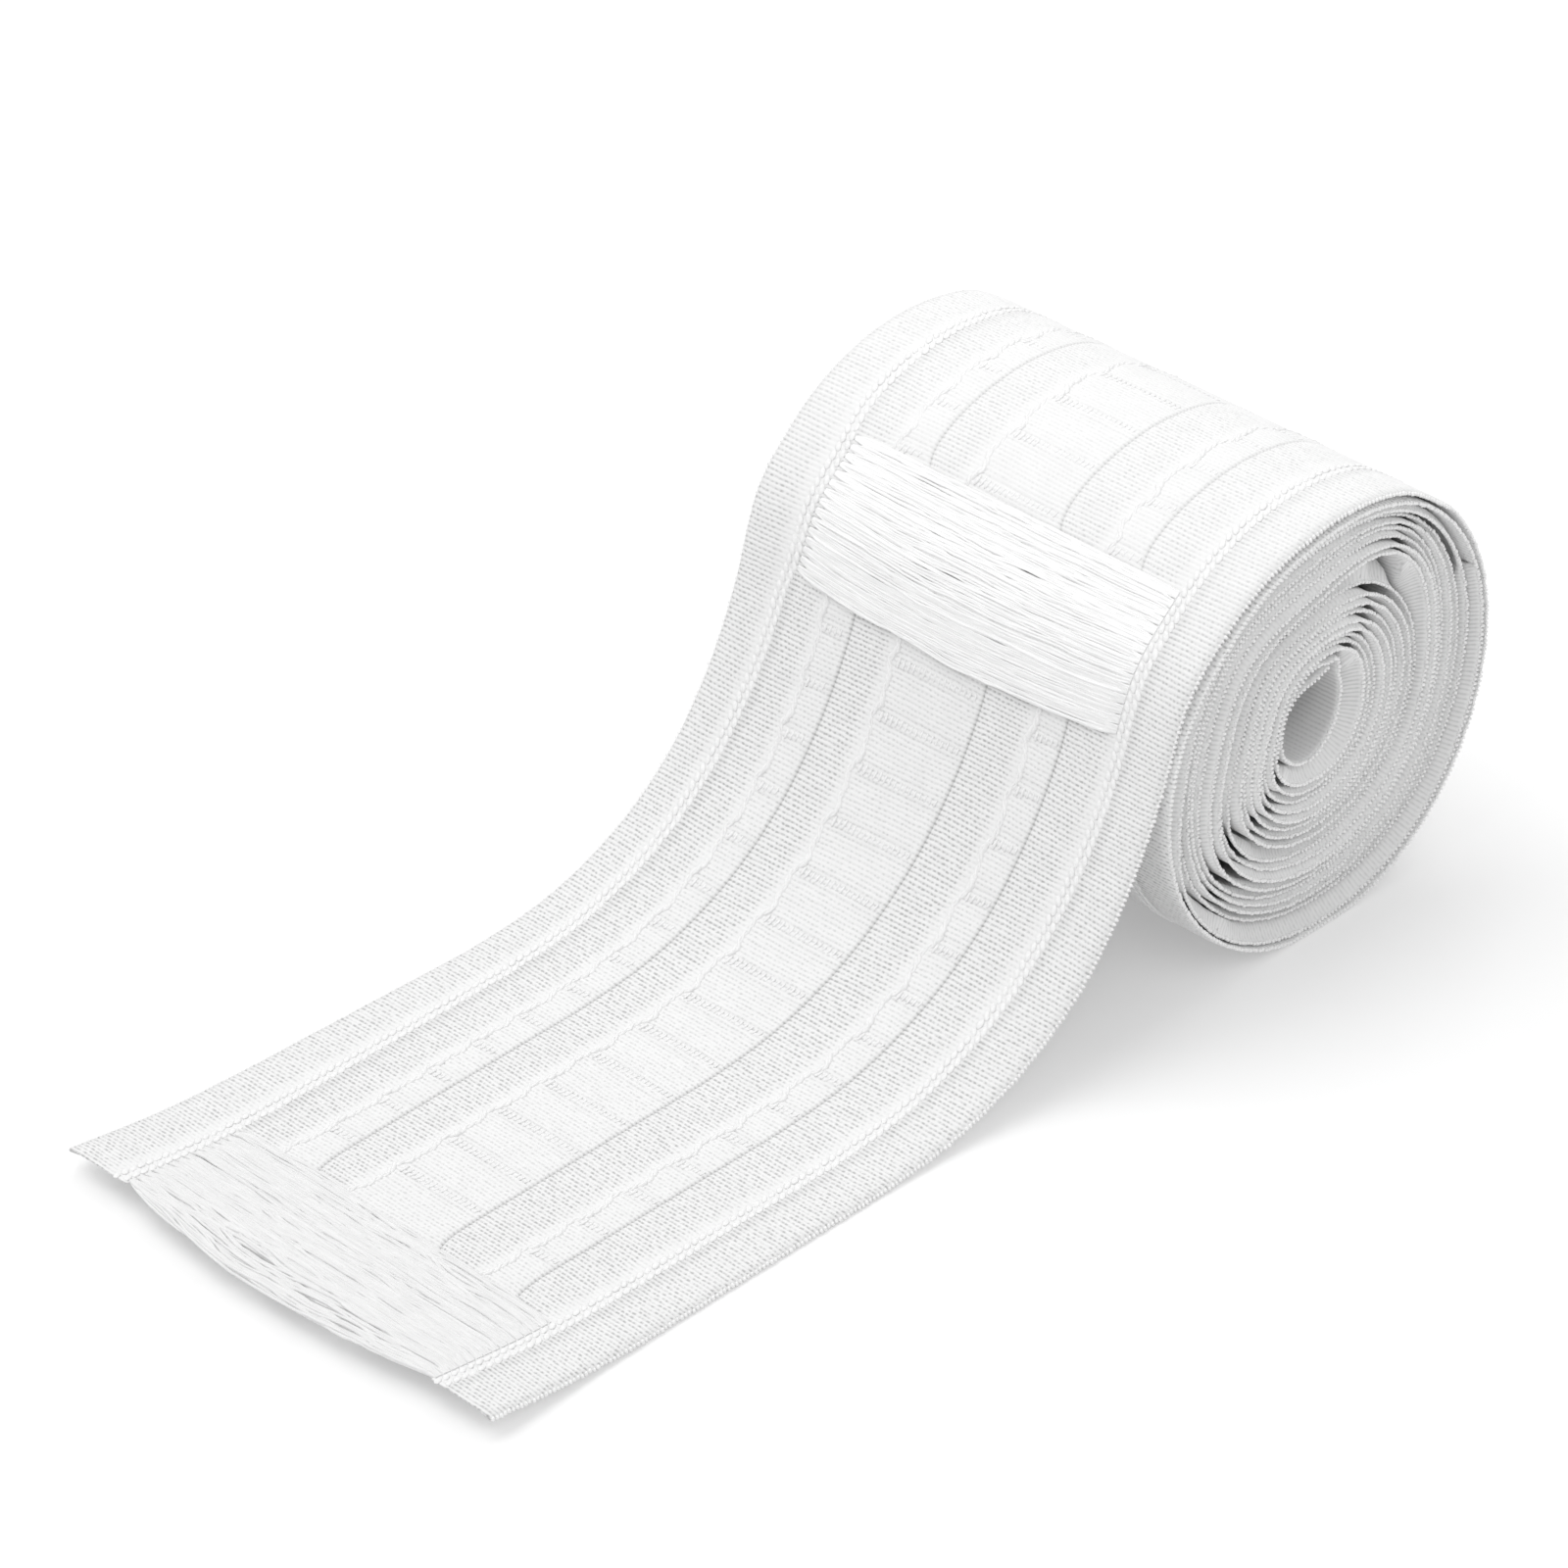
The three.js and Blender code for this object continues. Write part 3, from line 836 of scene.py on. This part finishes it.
def stitch_piece(name, rows, clear, **values):
    """Stitches on rows of runs, places across, heights, sideways leans and sizes."""
    points, along, outward, sizes = [], [], [], []
    for run, across, height, lean, size in rows:
        straight, out = tape_axes(run)
        points.append(TAPE.place(run, across, height, clear))
        along.append(straight + np.outer(lean, (1, 0, 0)))
        outward.append(out)
        sizes.append(size + 0 * run)
    guide = bpy.data.meshes.new(name + ".points")
    guide.from_pydata(np.concatenate(points).tolist(), [], [])
    set_attribute(guide, "along", "FLOAT_VECTOR", np.concatenate(along))
    set_attribute(guide, "outward", "FLOAT_VECTOR", np.concatenate(outward))
    set_attribute(guide, "size", "FLOAT", np.concatenate(sizes))
    return grown_piece(name, stitches_tree(), guide, values)


def guide_lines(name, lines, radii):
    """A mesh of open lines; every line is an array of points, with its radius at each."""
    guide = bpy.data.meshes.new(name + ".lines")
    starts = np.cumsum([0, *(len(line) for line in lines)])
    edges = [
        (start + step, start + step + 1)
        for start, line in zip(starts, lines)
        for step in range(len(line) - 1)
    ]
    guide.from_pydata(np.concatenate(lines).tolist(), edges, [])
    set_attribute(guide, "thick", "FLOAT", np.concatenate(radii) * MM)
    return guide


def tape_axes(run):
    """Unit vectors along the tape and out of its face, at each run."""
    y, z = TAPE.facing_at(run)
    none = np.zeros(len(run))
    return np.stack([none, z, -y], axis=1), np.stack([none, y, z], axis=1)


def parts_of_tape():
    """The loose end and the outer wound turn, whose faces show: name, first run and last run."""
    return (
        ("loose", 0.0, TAPE.loose_length),
        ("wound", TAPE.loose_length, TAPE.run_at(OUTER_TURN_TO)),
    )


def edge_loop_piece(name, side, start, stop, settings):
    """Loops of weft yarn that stand out of one selvedge, one for every rib."""
    pitch = settings.rib_pitch / MM
    run = np.arange(start + pitch / 2, stop, pitch)
    rng = np.random.default_rng(11 if side > 0 else 12)
    across = side * (HALF_WIDTH + rng.normal(0.1, 0.05, len(run)))
    across = across + drift(np.full(len(run), side * HALF_WIDTH), run)
    height = rng.normal(0, 0.03, len(run))
    lean = rng.normal(0, 0.22, len(run))
    material = thread_material("Edge loops", settings.float_colour, 1.0, 0.6, 0.15)
    return stitch_piece(
        name, [(run, across, height, lean, 1.0)], 0.0, Material=material, Segments=6, Rings=3,
        Length=0.7 * settings.rib_pitch, Width=0.64 * MM, Height=0.66 * MM, Uneven=0.12, Seed=3,
    )


def cord_piece(name, start, stop, settings):
    """Both drawn cords: two leaning columns of stitches along each."""
    pitch = 2 * settings.rib_pitch / MM
    rows = []
    rng = np.random.default_rng(21)
    for cord in CORDS:
        for column in (-1, 1):
            run = np.arange(start + pitch * (0.5 + 0.25 * column), stop - 0.3, pitch)
            across = np.full(len(run), cord + 0.58 * column)
            height = TAPE.half_at(run) + 0.06 + rng.normal(0, 0.02, len(run))
            lean = -0.5 + rng.normal(0, 0.16, len(run))
            size = 1 + rng.normal(0, 0.06, len(run))
            rows.append((run, across + drift(across, run), height, lean, size))
    return stitch_piece(
        name, rows, STITCH_CLEAR, Material=yarn_material(settings),
        Segments=8, Rings=5, Length=1.45 * MM, Width=0.86 * MM, Height=0.34 * MM, Uneven=0.06, Seed=5,
    )


def rung_piece(name, start, stop, settings):
    """Rows of short lengthwise stitches that close the pockets."""
    rows = []
    rng = np.random.default_rng(31)
    for number, (low, high) in enumerate(POCKETS):
        nearer = 0.0 if number == 1 else 0.5
        for rung in rung_runs(start, stop):
            across = np.arange(low + 0.5, high - 0.3, settings.rung_pitch / MM)
            share = (across - low) / (high - low)
            run = rung - nearer + 0.5 * share + rng.normal(0, 0.05, len(across))
            height = TAPE.half_at(run) + 0.12 - 0.05 * faint(run) + rng.normal(0, 0.01, len(across))
            lean = rng.normal(0.06, 0.05, len(across))
            rows.append((run, across + drift(across, run), height, lean, 1.1 - 0.4 * share))
    return stitch_piece(
        name, rows, STITCH_CLEAR, Material=yarn_material(settings),
        Segments=6, Rings=4, Length=1.45 * MM, Width=0.46 * MM, Height=0.32 * MM, Uneven=0.08, Seed=7,
    )


def yarn_piece(name, start, stop, settings):
    """The wavy pocket yarns: two plies that twist, swerve and bulge at every rung."""
    run = np.arange(start + 0.2, stop - 0.2, 0.35)
    rungs = np.array(rung_runs(start - 10, stop + 10))
    lines, radii = [], []
    for number, yarn in enumerate(YARNS):
        rng = np.random.default_rng(41 + number)
        swerve = 0.3 * np.sin(run / 1.27 + number) + 0.16 * np.sin(run / 0.61 + 2 * number)
        knot = np.exp(-((run[:, None] - rungs[None, :] - 1.5) / 1.1) ** 2).sum(1)
        across = yarn + swerve + 0.25 * knot
        knots = np.arange(start - 1, stop + 2, 1.3)
        lumps = np.interp(run, knots, rng.normal(0, 0.05, len(knots)))
        middle = TAPE.half_at(run) - 0.02 + 0.06 * knot - 0.5 * band_cover(run) - 0.07 * faint(run)
        for ply in (0, math.pi):
            turn = run * 2 * math.pi / YARN_TWIST + ply
            side = across + 0.24 * np.cos(turn)
            height = middle + 0.08 * np.sin(turn)
            lines.append(TAPE.place(run, side + drift(np.full(len(run), yarn), run), height, YARN_RADIUS))
            radii.append(YARN_RADIUS + lumps + 0.05 * knot)
    guide = guide_lines(name, lines, radii)
    values = {"Sides": 6, "Material": yarn_material(settings)}
    return grown_piece(name, strands_tree(), guide, values)


def wander(rng, count, places, reach):
    """Smooth random sideways paths: one row for each of count strands, at places from 0 to 1."""
    knots = rng.normal(0, reach, (count, 9))
    return np.stack([smooth_value(row, places * 8) for row in knots])


def thread_band(name, band, bow, sag, loose, material, settings, seed):
    """A band of loose threads from cord to cord, gathered in tufts where the cords hold them."""
    rng = np.random.default_rng(seed)
    share = np.linspace(0, 1, settings.thread_steps)
    count = settings.thread_count
    low, high = band
    tuft = 2 * settings.rib_pitch / MM
    swell = 1 - (2 * share - 1) ** 2
    lines, radii = [], []
    for layer in range(2):
        starts = np.sort(rng.uniform(0, 1, count)) * 0.35 + (np.arange(count) + 0.5) / count * 0.65
        even = low + (high - low) * starts
        root = (np.floor((even - low) / tuft) + 0.5) * tuft + low
        tuft_number = ((even - low) / tuft).astype(int)
        group = wander(rng, tuft_number.max() + 1, share, 0.12 * loose)[tuft_number]
        alone = wander(rng, count, share, 0.1 * loose)
        for strand in range(count):
            part = 1 - starts[strand]
            stray = (loose - 1) * rng.uniform(0, 1.6) * smooth_step(part, 0.8, 1.0)
            free = smooth_step(share, 0.0, 0.05) * (1 - 0.5 * smooth_step(share, 0.97, 1.0))
            run = root[strand] + (even[strand] - root[strand]) * (0.4 + 0.6 * free)
            run = run + (group[strand] + alone[strand] + rng.normal(0, 0.05, len(share))) * swell ** 0.5
            run = run - (bow * part + stray) * swell
            left, right = (
                cord + side * (CORD_HALF - THREAD_HOLD) + drift(cord, root[strand])
                for cord, side in zip(CORDS, (1, -1))
            )
            across = left + (right - left) * share
            over = 0.12 + 0.2 * layer + rng.normal(0, 0.03)
            drop = sag * swell * (1 - smooth_step(run, -2, RECESS_DEPTH - 0.5))
            lift = (over + 0.35 * swell ** 0.5) * smooth_step(np.minimum(share, 1 - share), 0, 0.03)
            height = LOOSE_HALF + lift - drop
            lines.append(TAPE.place(run, across, height))
            radii.append(np.full(len(share), THREAD_RADIUS + rng.uniform(0, 0.04)))
    guide = guide_lines(name, lines, radii)
    values = {"Sides": 5, "Material": material}
    return grown_piece(name, strands_tree(), guide, values)


def aimed_object(name, data, place, target):
    """A light or camera at a place, facing a target."""
    obj = link(bpy.data.objects.new(name, data))
    obj.location = place
    obj.rotation_mode = "QUATERNION"
    obj.rotation_quaternion = (Vector(target) - Vector(place)).to_track_quat("-Z", "Y")
    return obj


def add_light(name, place, target, size, power):
    data = bpy.data.lights.new(name, "AREA")
    data.shape = "RECTANGLE"
    data.size, data.size_y = size
    data.energy = power
    return aimed_object(name, data, place, target)


def length(name, description, default, low, high):
    """A setting in metres, from millimetres."""
    return FloatProperty(
        name=name, description=description, default=default * MM, min=low * MM, max=high * MM,
        unit="LENGTH", precision=5,
    )


def grey(name, description, tone):
    return FloatVectorProperty(
        name=name, description=description, subtype="COLOR", default=(tone, tone, tone), min=0, max=1,
    )


def share_of_one(name, description, default):
    return FloatProperty(
        name=name, description=description, subtype="FACTOR", default=default, min=0, max=1,
    )


def lamp_power(name, description, default):
    return FloatProperty(name=name, description=description, default=default, min=0, unit="POWER")


class TapeSettings(bpy.types.PropertyGroup):
    rib_pitch: length("Rib Pitch", "Distance between two ribs along the tape", 0.67, 0.3, 2)
    rib_height: length("Rib Height", "How far the ribs stand out of the cloth", 0.11, 0, 0.4)
    yarn_pitch: length("Yarn Pitch", "Distance between two dots across the tape", 0.75, 0.3, 2)
    rung_pitch: length("Rung Stitch Pitch", "Distance between the stitches of a rung", 0.88, 0.4, 3)
    thread_count: IntProperty(
        name="Threads", description="Loose threads in one layer of a band", default=118, min=10, max=200,
    )
    thread_steps: IntProperty(
        name="Thread Steps", description="Points along each loose thread", default=30, min=12, max=120,
    )
    cloth_colour: grey("Cloth", "Colour of the woven cloth", 0.80)
    thread_colour: grey("Pocket Yarn", "Colour of the cords, yarns and rungs", 0.86)
    float_colour: grey("Upper Threads", "Colour of the upper loose threads and the edge loops", 0.92)
    # Painted shade: the cut end's loose threads are darker than the upper ones for the shade they lie in
    # near the floor
    end_shaded_colour: grey("End Threads", "Colour of the loose threads at the cut end", 0.82)
    gap_tone: share_of_one("Gap Tone", "How light the dots between the ribs are", 0.62)
    # Painted shade: how light the shaded grooves, cord edges, rung creases and faces between the wound
    # turns are
    shade_tone: share_of_one("Groove Tone", "How light the grooves are", 0.45)
    floor_colour: grey("Floor", "Colour of the plain floor", 0.74)
    floor_glow: FloatProperty(
        name="Floor Glow", description="Light that the floor gives, to keep its shadows faint",
        default=0.2, min=0,
    )
    key_power: lamp_power("Key Light", "Power of the large light overhead", 6.0)
    fill_power: lamp_power("Fill Light", "Power of the light beside the camera", 2.0)
    rear_power: lamp_power("Rear Light", "Power of the small light behind the roll", 0.4)
    sky_strength: FloatProperty(
        name="Sky", description="Strength of the plain light from all round", default=0.68, min=0,
    )


class HEADINGTAPE_OT_stage(bpy.types.Operator):
    """Sets up the camera, the soft lights and the plain floor"""

    bl_idname = "heading_tape.stage"
    bl_label = "Stage"

    def execute(self, context):
        settings = context.scene.heading_tape
        here = Vector((0, ROLL_Y, 0))
        data = bpy.data.cameras.new("Camera")
        data.lens = CAMERA_LENS
        data.sensor_width = SENSOR
        data.clip_end = 20
        place = (Vector(CAMERA_PLACE) + here) * MM
        target = (Vector(CAMERA_TARGET) + here) * MM
        context.scene.camera = aimed_object("Camera", data, place, target)

        context.scene.view_settings.view_transform = "Standard"
        for name, lamp_place, lit_place, size, power in LIGHTS:
            add_light(name, lamp_place, lit_place, size, getattr(settings, power))
        world = context.scene.world or bpy.data.worlds.new("World")
        context.scene.world = world
        world.use_nodes = True
        sky = world.node_tree.nodes["Background"]
        sky.inputs["Color"].default_value = (1, 1, 1, 1)
        sky.inputs["Strength"].default_value = settings.sky_strength

        material, _, shader = new_material("Plain floor")
        values = {
            "Base Color": (*settings.floor_colour, 1), "Roughness": 0.9, "Specular IOR Level": 0.1,
            "Emission Color": (1, 1, 1, 1), "Emission Strength": settings.floor_glow,
        }
        for key, value in values.items():
            shader.inputs[key].default_value = value
        corners = np.array([[-1, -1, 0], [1, -1, 0], [1, 1, 0], [-1, 1, 0]]) * FLOOR_HALF
        floor = mesh_object("Floor", corners - [0, 0, FLOOR_DROP], [(0, 1, 2, 3)], material)
        return {"FINISHED"}


class HEADINGTAPE_OT_loose_end(bpy.types.Operator):
    """Weaves the loose end, from its cut over the surface and up to the roll's top"""

    bl_idname = "heading_tape.loose_end"
    bl_label = "Loose End"

    def execute(self, context):
        settings = context.scene.heading_tape
        weave = Weave(settings.rib_pitch / MM, settings.rib_height / MM)
        runs = np.arange(0, TAPE.loose_length, weave.rib_pitch / LOOSE_RIB_STEPS)
        runs = np.append(runs[:-1], TAPE.loose_length)
        cloth = cloth_piece("loose_end_cloth", weave, runs, 1, cloth_material(settings))
        finish_piece(cloth, "cloth", "loose_end")
        return {"FINISHED"}


class HEADINGTAPE_OT_wound_turns(bpy.types.Operator):
    """Winds the rest of the tape: the ribbed outer turn and the plain turns inside it"""

    bl_idname = "heading_tape.wound_turns"
    bl_label = "Wound Turns"

    def execute(self, context):
        settings = context.scene.heading_tape
        material = cloth_material(settings)
        weave = Weave(settings.rib_pitch / MM, settings.rib_height / MM)
        stop = TAPE.run_at(OUTER_TURN_TO)
        outer_runs = np.arange(TAPE.loose_length, stop, weave.rib_pitch / WOUND_RIB_STEPS)
        outer = cloth_piece("outer_turn_cloth", weave, outer_runs, 2, material)
        turns = np.concatenate([
            np.linspace(OUTER_TURN_TO, FINE_TURNS_FROM, 1700),
            np.linspace(FINE_TURNS_FROM, CORE_END, 260)[1:],
        ])
        inner_runs = np.interp(turns, TAPE.turns, TAPE.run)
        inner = inner_cloth_piece("inner_turns_cloth", inner_runs, material)
        finish_piece(outer, "cloth", "wound_roll")
        finish_piece(inner, "cloth", "wound_roll")
        return {"FINISHED"}


def lean_stagger(turns):
    """Keeps the places where the lean changes sides from lining up from turn to turn."""
    return 0.18 * np.sin(2.4 * turns)


def inner_cloth_piece(name, runs, material):
    """The turns inside the outer one, whose faces show only at their edges.

    Behind its edges each turn leans on the next turn out where its outer face would show to the
    camera, and on the next turn in elsewhere.
    """
    across = np.array(INNER_ACROSS)
    half = TAPE.half_at(runs)[:, None]
    ring_across = np.concatenate([across, [EDGE_TIP], across[::-1], [-EDGE_TIP]])
    face = np.ones(len(across))
    face[[0, -1]] = EDGE_THIN
    middle = np.zeros((len(runs), 1))
    turns = np.interp(runs, TAPE.run, TAPE.turns)
    angle = np.radians(FIRST_ANGLE - 360 * turns)
    facing = CAMERA_UP * np.sin(angle) - CAMERA_AWAY * np.cos(angle)
    outward = smooth_step(facing + lean_stagger(turns - 1), -0.2, 0.2)
    inward = 1 - smooth_step(facing + lean_stagger(turns), -0.2, 0.2)
    one_way = np.minimum(np.abs(2 * outward - 1), np.abs(2 * inward - 1))
    cloth = 2 * half[:, 0] + INNER_LEAN_SPARE
    outside = np.clip(turn_radius(turns - 1) - turn_radius(turns) - cloth, 0, None)
    inside = np.clip(turn_radius(turns) - turn_radius(turns + 1) - cloth, 0, None)
    outward = np.where(turns < OUTER_TURN_TO + 1, 1.0, outward)
    gap = (outside * outward - inside * inward) * (turns < INNER_LEAN_TURNS)
    reach = 0.3 + np.clip(0.8 * np.maximum(outside, inside), 0.2, INNER_LEAN_DEPTH) * one_way
    depth = HALF_WIDTH - np.abs(across)
    lean = gap[:, None] * smooth_step(depth[None, :], 0, reach[:, None])
    upper = half * face + lean
    lower = -half * face + lean[:, ::-1]
    height = np.concatenate([upper, middle, lower, middle], axis=1)
    run = runs[:, None]
    points = TAPE.place(run, ring_across, height)
    nominal = np.clip(ring_across, -HALF_WIDTH, HALF_WIDTH)
    # Painted shade on the faces behind the edges: darkest at the roll's front and back, where the gaps
    # between the turns lie deeper
    behind = np.abs(ring_across) < HALF_WIDTH - 0.2
    shade = (0.08 + 0.36 * np.cos(angle[:, None]) ** 2) * behind
    return tape_mesh(name, points, nominal, run, np.full(points.shape[:2], 0.3), shade, material)


class HEADINGTAPE_OT_edge_loops(bpy.types.Operator):
    """Adds the loops of weft yarn along both edges of the whole tape"""

    bl_idname = "heading_tape.edge_loops"
    bl_label = "Edge Loops"

    def execute(self, context):
        settings = context.scene.heading_tape
        for label, side in (("left", -1), ("right", 1)):
            piece = edge_loop_piece("edge_loops_" + label, side, 0.0, TAPE.length, settings)
            finish_piece(piece, "cloth")
        return {"FINISHED"}


class HEADINGTAPE_OT_woven_lines(bpy.types.Operator):
    """Adds the drawn cords, the wavy pocket yarns and the rungs of the pockets"""

    bl_idname = "heading_tape.woven_lines"
    bl_label = "Cords, Yarns and Rungs"

    def execute(self, context):
        settings = context.scene.heading_tape
        for label, start, stop in parts_of_tape():
            finish_piece(cord_piece(label + "_cords", start, stop, settings), "cloth")
            finish_piece(yarn_piece(label + "_yarns", start, stop, settings), "cloth")
            finish_piece(rung_piece(label + "_rungs", start, stop, settings), "cloth")
        return {"FINISHED"}


class HEADINGTAPE_OT_thread_bands(bpy.types.Operator):
    """Lays the two bands of loose threads across the tape"""

    bl_idname = "heading_tape.thread_bands"
    bl_label = "Loose Threads"

    def execute(self, context):
        settings = context.scene.heading_tape
        material = thread_material("Upper loose threads", settings.float_colour, 14.0, 0.42, 0.2)
        upper = thread_band("upper_thread_floats", UPPER_BAND, 1.8, 0.0, 0.7, material, settings, 51)
        finish_piece(upper, "threads", "upper_threads")
        # Painted shade: a darker copy of the loose-thread material for the band at the cut end
        material = thread_material("End loose threads", settings.end_shaded_colour, 14.0, 0.5, 0.1)
        lower = thread_band("end_thread_floats", END_BAND, 1.2, 0.9, 2.6, material, settings, 52)
        finish_piece(lower, "threads", "end_threads")
        return {"FINISHED"}


class HEADINGTAPE_PT_panel(bpy.types.Panel):
    """Lists the pieces of the tape roll"""

    bl_idname = "HEADINGTAPE_PT_panel"
    bl_label = "Heading Tape"
    bl_space_type = "VIEW_3D"
    bl_region_type = "UI"
    bl_category = "Heading Tape"

    def draw(self, context):
        settings = context.scene.heading_tape
        for name in settings.bl_rna.properties.keys():
            if name not in {"rna_type", "name"}:
                self.layout.prop(settings, name)
        for operator in OPERATORS:
            self.layout.operator(operator.bl_idname)


OPERATORS = (
    HEADINGTAPE_OT_stage,
    HEADINGTAPE_OT_loose_end,
    HEADINGTAPE_OT_wound_turns,
    HEADINGTAPE_OT_edge_loops,
    HEADINGTAPE_OT_woven_lines,
    HEADINGTAPE_OT_thread_bands,
)


def register():
    for item in (TapeSettings, *OPERATORS, HEADINGTAPE_PT_panel):
        bpy.utils.register_class(item)
    bpy.types.Scene.heading_tape = PointerProperty(type=TapeSettings)


def unregister():
    del bpy.types.Scene.heading_tape
    for item in reversed((TapeSettings, *OPERATORS, HEADINGTAPE_PT_panel)):
        bpy.utils.unregister_class(item)


def main():
    register()
    bpy.ops.heading_tape.stage()
    bpy.ops.heading_tape.loose_end()
    bpy.ops.heading_tape.wound_turns()
    bpy.ops.heading_tape.edge_loops()
    bpy.ops.heading_tape.woven_lines()
    bpy.ops.heading_tape.thread_bands()


if __name__ == "__main__":
    main()
